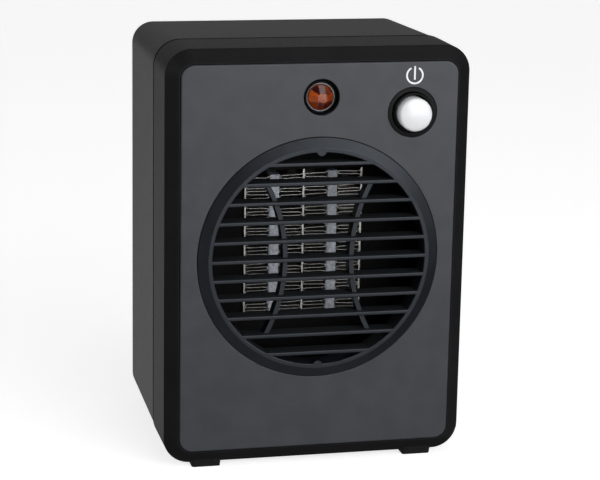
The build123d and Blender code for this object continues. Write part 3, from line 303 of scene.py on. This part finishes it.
# painted light of each face, dark red to orange, read from the points
depth = addNode(tree, "ShaderNodeAttribute", attribute_name="facetLight")
cloud = addNode(tree, "ShaderNodeTexNoise", {"Vector": coords, "Scale": 1 / (amber["swirl"] * mm),
                                             "Detail": 3.0})
swirl = addNode(tree, "ShaderNodeMapRange", {"Value": cloud.outputs["Fac"], "From Min": grainLow,
                                             "From Max": grainHigh, "To Min": -amber["uneven"],
                                             "To Max": amber["uneven"]})
amount = addNode(tree, "ShaderNodeMath", {0: depth.outputs["Fac"], 1: swirl.outputs["Result"]},
                 operation="ADD", use_clamp=True)
tone = addNode(tree, "ShaderNodeMix", {"Factor": amount.outputs["Value"], "A": linear(amber["deep"]),
                                       "B": linear(amber["bright"])}, data_type="RGBA")
gloss = addNode(tree, "ShaderNodeMapRange", {"Value": cloud.outputs["Fac"], "To Min": amber["roughLow"],
                                             "To Max": amber["roughHigh"]})
tree.links.new(tone.outputs["Result"], shader.inputs["Base Color"])
tree.links.new(gloss.outputs["Result"], shader.inputs["Roughness"])

# thin glass of the neon bulb: clear, with a warm haze
glass = {"haze": 2.0, "dark": "#e9e2d8", "light": "#f6f1ea", "roughLow": 0.02, "roughHigh": 0.08}
bulbGlass, tree, shader, coords = startMaterial("bulbGlass", IOR=1.5, Transmission_Weight=1.0)
haze = addNode(tree, "ShaderNodeTexNoise", {"Vector": coords, "Scale": 1 / (glass["haze"] * mm)})
gloss = addNode(tree, "ShaderNodeMapRange", {"Value": haze.outputs["Fac"], "To Min": glass["roughLow"],
                                             "To Max": glass["roughHigh"]})
tone = addNode(tree, "ShaderNodeMix", {"Factor": haze.outputs["Fac"], "A": linear(glass["dark"]),
                                       "B": linear(glass["light"])}, data_type="RGBA")
tree.links.new(tone.outputs["Result"], shader.inputs["Base Color"])
tree.links.new(gloss.outputs["Result"], shader.inputs["Roughness"])
print("finishes made")

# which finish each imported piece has
finishOf = {
    frameAbs: ["front_frame"],
    shellAbs: ["rear_shell"],
    panelPaint: ["face_panel"],
    grilleNylon: ["grille"],
    footRubber: ["front_feet", "rear_feet"],
    buttonGloss: ["button_cap"],
    collarGloss: ["button_collar"],
    lensAmber: ["lamp_lens"],
    bulbGlass: ["neon_bulb"],
    innerBlack: ["lamp_holder", "power_switch", "air_duct", "fan_impeller", "cord_gland", "gland_nut",
                 "element_holder", "element_cap_top", "element_cap_bottom"],
    innerWhite: ["switch_plunger", "lamp_base", "coil_bobbin", "terminal_block"],
    leadSilicone: [name for name in nodes if name.startswith("lead")],
    windingTape: ["coil_winding"],
    ptcCeramic: ["ptc_strip_left", "ptc_strip_right"],
    finAluminium: [name for name in nodes if name.startswith(("fin_pack", "contact_plate"))],
    platedSteel: ["thermostat", "thermal_fuse", "duct_screws", "switch_screws", "motor_screws", "case_screws",
                  "terminal_screw", "motor_shaft", "front_bracket", "rear_bracket"],
    bezelNickel: ["lamp_bezel"],
    laminationSteel: ["stator_core", "motor_rotor"],
    turnedBrass: ["switch_terminals", "bearing_bushes"],
}
for material, names in finishOf.items():
    for name in names:
        nodes[name].data.materials.clear()
        nodes[name].data.materials.append(material)
print("packed pieces finished")

# folded fins of the element: x swings between two plates as a triangle wave of the phase, pressed flat
# against them, and z climbs one pitch each half turn, steeply at the folds, a little uneven from run to run;
# "short" is how far each pack, from the left, stops below the top
fins = {"sheet": 0.15, "runs": 42, "pointsPerRun": 16, "press": 1.13, "steep": 9, "uneven": 0.14,
        "clear": 0.03, "short": (2.2, 1.3, 0.8, 0.3)}
finPacks = sorted((node for node in nodes if node.startswith("fin_pack")),
                  key=lambda node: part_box(node)[0][0])
for name, short in zip(finPacks, fins["short"]):
    low, high = (np.array(corner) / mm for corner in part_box(name))
    high[2] -= short
    edge = fins["sheet"] / 2 + fins["clear"]
    phase = np.linspace(0, np.pi * fins["runs"], fins["runs"] * fins["pointsPerRun"] + 1)
    turn = phase / np.pi
    fold = turn - np.round(turn)
    swing = np.clip(fins["press"] * np.arcsin(np.cos(phase)) / (np.pi / 2), -1, 1)
    climb = (np.round(turn) + np.tanh(fins["steep"] * fold) / np.tanh(fins["steep"] / 2) / 2) / fins["runs"]
    loose = np.interp(turn, np.arange(fins["runs"] + 1), rng.normal(0, fins["uneven"], fins["runs"] + 1))
    x = (low[0] + high[0]) / 2 + ((high[0] - low[0]) / 2 - edge) * swing
    z = low[2] + edge + (high[2] - low[2] - 2 * edge) * climb + loose
    z = np.clip(z, low[2] + edge, high[2] - edge)
    path = np.stack([x, np.full_like(x, low[1]), z], axis=-1)
    along = np.gradient(path, axis=0)
    along /= np.linalg.norm(along, axis=1, keepdims=True)
    across = np.stack([-along[:, 2], along[:, 1], along[:, 0]], axis=-1)
    depth = np.tile([0.0, high[1] - low[1], 0.0], (len(path), 1))
    makePiece("folded_" + name, [carriedBar(path, across, depth, flatSection * [fins["sheet"], 1])],
              finAluminium, replaced=[name], smoothAngle=50)
print("fins folded")

# ceramic strips: a block with softened edges carried upwards, each stopping a little short of the top
strips = {"short": {"ptc_strip_left": 1.8, "ptc_strip_right": 0.8}, "steps": 48, "power": 16}
for name, short in strips["short"].items():
    low, high = (np.array(corner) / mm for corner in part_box(name))
    half, middle = (high - low) / 2, (high + low) / 2
    block = softSquare(strips["steps"], strips["power"]) * half[:2]
    path = np.array([[middle[0], middle[1], height] for height in (low[2], high[2] - short)])
    makePiece("block_" + name,
              [carriedBar(path, np.tile([1.0, 0, 0], (2, 1)), np.tile([0, 1.0, 0], (2, 1)), block)],
              ptcCeramic, replaced=[name])
print("strips set")

# pilot lens: a dome turned round its axis and cut by flat faces, y being the deepest of the dome
# and the planes at each point
lens = {"radius": 4.6, "rim": 0.9, "dome": 3.2, "back": 9.0, "wall": 1.0, "crown": 1.6, "wallLight": 0.5,
        "steps": 96, "rows": 40}
lensCuts = [  # lean across, lean up (degrees), how far the flat cuts in, painted light of the face (dark red to orange)
    (0.5, -0.5, 0.5, 0.45), (3, 38, 0.5, 0.05), (0, -38, 0.5, 0.06), (-38, 0, 0.5, 0.55), (38, 0, 0.5, 0.3),
    (-20, 33, 0.42, 0.0), (-36, 14, 0.44, 0.75), (-30, -30, 0.45, 0.3), (30, 30, 0.45, 0.2),
    (30, -30, 0.45, 0.1)]
low, high = (np.array(corner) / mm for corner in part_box("lamp_lens"))
lensX, lensZ = (low[0] + high[0]) / 2, (low[2] + high[2]) / 2
ball = (lens["radius"] ** 2 + lens["dome"] ** 2) / (2 * lens["dome"])  # radius of the dome's sphere
middle = lens["rim"] - lens["dome"] + ball  # depth of the sphere's middle
front = np.linspace(0, lens["radius"], lens["rows"])
inner = lens["radius"] - lens["wall"]
radius = np.concatenate([front, [lens["radius"], inner, inner, 0]])
depth = np.concatenate([middle - np.sqrt(ball ** 2 - front ** 2),
                        [lens["back"], lens["back"], lens["crown"], lens["crown"]]])
angle = np.linspace(0, 2 * np.pi, lens["steps"], endpoint=False)[:, None]
x, z = radius * np.cos(angle), radius * np.sin(angle)
y = np.tile(depth, (lens["steps"], 1))
# painted light: each cut face takes its own value; the dome between the cuts and the wall take the middle one
facetLight = np.full_like(y, lens["wallLight"])
for across, up, cut, cutLight in lensCuts:
    leanX, leanZ = np.sin(np.radians(across)), np.sin(np.radians(up))
    ahead = np.sqrt(1 - leanX ** 2 - leanZ ** 2)
    plane = middle - (ball - cut - leanX * x - leanZ * z) / ahead
    deeper = (plane > y) & (np.arange(len(radius)) < lens["rows"])
    y = np.where(deeper, plane, y)
    facetLight = np.where(deeper, cutLight, facetLight)
points = np.stack([lensX + x, faceY + y, lensZ + z], axis=-1).reshape(-1, 3)
makePiece("pilot_lens", [(points, gridFaces(*x.shape, wrapRows=True).tolist())], lensAmber,
          replaced=["lamp_lens"], smoothAngle=12, facetLight=facetLight)
print("lens cut")

# ring round the lens: an oval section turned once round, seated on the holder
ring = {"radius": 4.9, "halfWidth": 0.28, "halfDepth": 0.3, "depth": 1.2, "sectionSteps": 12, "steps": 96}
oval = np.linspace(0, 2 * np.pi, ring["sectionSteps"], endpoint=False)
section = np.stack([ring["radius"] + ring["halfWidth"] * np.cos(oval),
                    ring["depth"] + ring["halfDepth"] * np.sin(oval)], axis=-1)
makePiece("lens_ring", [turnedShell(section, lensX, lensZ, ring["steps"])], bezelNickel,
          replaced=["lamp_bezel"])
print("lens ring turned")

# push button: a shallow dome with a rounded edge turned round its axis, hollow behind
button = {"radius": 5.98, "drop": 0.2, "proud": 6.0, "dome": 1.2, "edge": 1.3, "skirt": 5.0, "wall": 1.5,
          "faceRows": 24, "edgeRows": 10, "steps": 96}
low, high = (np.array(corner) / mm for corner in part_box("button_cap"))
buttonX, buttonZ = (low[0] + high[0]) / 2, (low[2] + high[2]) / 2 - button["drop"]
lean = np.arctan(2 * button["dome"] / button["radius"])
bend = np.linspace(lean, np.pi / 2, button["edgeRows"])
edgeRadius = button["radius"] - button["edge"]
face = np.linspace(0, edgeRadius + button["edge"] * np.sin(lean), button["faceRows"])
faceDepth = button["dome"] * (face / button["radius"]) ** 2 - button["proud"]
bendDepth = faceDepth[-1] + button["edge"] * (np.cos(lean) - np.cos(bend))
hollow = button["radius"] - button["wall"]
hollowDepth = button["wall"] + button["dome"] - button["proud"]
outline = np.stack([np.concatenate([face, (edgeRadius + button["edge"] * np.sin(bend))[1:],
                                    [button["radius"], hollow, hollow, 0]]),
                    np.concatenate([faceDepth, bendDepth[1:],
                                    [button["skirt"], button["skirt"], hollowDepth, hollowDepth]])], axis=-1)
makePiece("push_button", [turnedShell(outline, buttonX, buttonZ, button["steps"])],
          buttonGloss, "button", ["button_cap"])
print("button turned")

# painted shadow of the seam between frame and shell: a small black rounded block carried round a rounded
# rectangle, just below the frame's surface
seamShadow = {"halfX": 54.6, "halfZ": 74.85, "corner": 9.1, "depth": 27.35, "halfHigh": 0.38, "halfWide": 1.15,
        "cornerSteps": 14, "sectionSteps": 16, "power": 8}
low, high = (np.array(corner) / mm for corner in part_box("front_frame"))
arc = np.linspace(0, np.pi / 2, seamShadow["cornerSteps"])
bend = np.concatenate([arc + k * np.pi / 2 for k in range(4)])
signX = np.repeat([1, -1, -1, 1], seamShadow["cornerSteps"])
signZ = np.repeat([1, 1, -1, -1], seamShadow["cornerSteps"])
outward = np.stack([np.cos(bend), np.zeros_like(bend), np.sin(bend)], axis=-1)
corners = np.stack([signX * (seamShadow["halfX"] - seamShadow["corner"]), np.full_like(bend, faceY + seamShadow["depth"]),
                    (low[2] + high[2]) / 2 + signZ * (seamShadow["halfZ"] - seamShadow["corner"])], axis=-1)
seamShadowSection = softSquare(seamShadow["sectionSteps"], seamShadow["power"]) * [seamShadow["halfHigh"], seamShadow["halfWide"]]
makePiece("seam_shadow_strip", [carriedBar(corners + seamShadow["corner"] * outward, outward,
                                   np.tile([0, 1.0, 0], (len(bend), 1)), seamShadowSection, True)],
          seamShadowBlack)
print("seam sealed")

# power sign printed above the button: a flat section carried along an open ring and up a bar
sign = {"x": 33.6, "z": 65.15, "outer": 3.2, "stroke": 0.62, "gapDegrees": 57, "barTop": 68.45,
        "barLow": 63.6, "ink": 0.03, "steps": 49}
inkSection = flatSection * [sign["stroke"], -sign["ink"]]
half = np.radians(sign["gapDegrees"] / 2)
turn = np.linspace(np.pi / 2 + half, 2.5 * np.pi - half, sign["steps"])
radial = np.stack([np.cos(turn), 0 * turn, np.sin(turn)], axis=-1)
backward = np.tile([0.0, 1.0, 0.0], (sign["steps"], 1))
signCentre = np.array([faceX + sign["x"], faceY, faceZ + sign["z"]])
ringPath = signCentre + (sign["outer"] - sign["stroke"] / 2) * radial
barPath = np.array([[faceX + sign["x"], faceY, faceZ + z] for z in (sign["barLow"], sign["barTop"])])
barAcross = np.tile([1.0, 0.0, 0.0], (2, 1))
makePiece("power_sign", [carriedBar(ringPath, radial, backward, inkSection),
                         carriedBar(barPath, barAcross, backward[:2], inkSection)], signInk)
print("power sign printed")

# studio: pale floor, soft boxes, camera where the photograph was taken from

# paper turned round the middle, in metres: flat at first, then its height grows as the square
# of the way beyond
paper = {"middle": 0.01, "flat": 3, "edge": 7, "curl": 0.4, "rings": 25, "spokes": 64, "fibre": 40.0,
         "glow": 0.75}
reach = np.concatenate([[paper["middle"]], np.linspace(paper["flat"], paper["edge"], paper["rings"])])
around = np.linspace(0, 2 * np.pi, paper["spokes"], endpoint=False)[:, None]
rise = np.tile(paper["curl"] * np.clip(reach - paper["flat"], 0, None) ** 2, (paper["spokes"], 1))
sweep = np.stack([reach * np.cos(around), reach * np.sin(around), rise], axis=-1).reshape(-1, 3)
middleFace = list(range(0, len(sweep), len(reach)))
floorMesh = bpy.data.meshes.new("floor")
floorMesh.from_pydata(sweep.tolist(), [],
                      gridFaces(paper["spokes"], len(reach), wrapRows=True).tolist() + [middleFace])
floorMesh.shade_smooth()
floor = bpy.data.objects.new("floor", floorMesh)
bpy.context.scene.collection.objects.link(floor)
# matt pale paper with a faint glow, so that it stays even into the distance
floorPaper, tree, shader, coords = startMaterial("floorPaper", Roughness=0.9, Emission_Strength=paper["glow"],
                                                 Emission_Color=(1.0, 1.0, 1.0, 1.0))
fibre = addNode(tree, "ShaderNodeTexNoise", {"Vector": coords, "Scale": paper["fibre"]})
tone = addNode(tree, "ShaderNodeMix", {"Factor": fibre.outputs["Fac"], "A": linear("#c4c4c4"),
                                       "B": linear("#cacaca")}, data_type="RGBA")
tree.links.new(tone.outputs["Result"], shader.inputs["Base Color"])
floorMesh.materials.append(floorPaper)
# it takes shadows, and throws no light back
floor.visible_glossy = floor.visible_diffuse = floor.visible_shadow = False

world = bpy.data.worlds.new("studio")
world.use_nodes = True
world.node_tree.nodes["Background"].inputs["Color"].default_value = (1.0, 1.0, 1.0, 1.0)
world.node_tree.nodes["Background"].inputs["Strength"].default_value = 0.08
bpy.context.scene.world = world

# places and sizes of the soft boxes in metres; a box without an aim of its own looks at the heater's middle
heaterMiddle = (0, 0, 0.08)
softBoxes = {
    "frontBox": {"place": (0.46, -1.0, 0.38), "width": 1.15, "height": 0.98, "watts": 13.8},
    "backBox": {"place": (-1.0, 1.0, -0.25), "width": 1.2, "height": 0.75, "watts": 4.2},
    "sideBox": {"place": (-1.42, -0.3, 0.66), "width": 0.7, "height": 0.7, "watts": 6.5},
    "overBox": {"place": (0.2, -0.52, 1.5), "width": 0.7, "height": 0.6, "watts": 2.4},
    "rearBox": {"place": (0.9, 1.25, -0.45), "width": 1.4, "height": 1.0, "watts": 16},
    "bounceBox": {"place": (-0.35, -0.45, -0.75), "width": 2.6, "height": 2.4, "watts": 3.8},
    "wallBox": {"place": (0.35, 1.9, 0.75), "aim": (0, 0, 0.1), "width": 2.6, "height": 1.1, "watts": 3.8},
}
for name, box in softBoxes.items():
    light = bpy.data.lights.new(name, "AREA")
    light.shape = "RECTANGLE"
    light.size, light.size_y = box["width"], box["height"]
    light.energy = box["watts"]
    lamp = bpy.data.objects.new(name, light)
    lamp.location = box["place"]
    aim = Vector(box.get("aim", heaterMiddle))
    lamp.visible_camera = False
    lamp.rotation_mode = "QUATERNION"
    lamp.rotation_quaternion = (aim - Vector(box["place"])).to_track_quat("-Z", "Y")
    bpy.context.scene.collection.objects.link(lamp)

cameraData = bpy.data.cameras.new("photoCamera")
cameraData.lens = 125.9
cameraData.sensor_width = 36.0
cameraData.sensor_fit = "HORIZONTAL"
camera = bpy.data.objects.new("photoCamera", cameraData)
# columns: the camera's right, its up, its back, and its place in metres
camera.matrix_world = Matrix((
    (0.97412, 0.03663, -0.22302, -0.17279),
    (-0.22530, 0.23568, -0.94536, -0.745665),
    (0.01793, 0.97115, 0.23783, 0.26092),
    (0, 0, 0, 1),
))
bpy.context.scene.collection.objects.link(camera)
bpy.context.scene.camera = camera
bpy.context.scene.view_settings.view_transform = "Standard"
print("studio set")
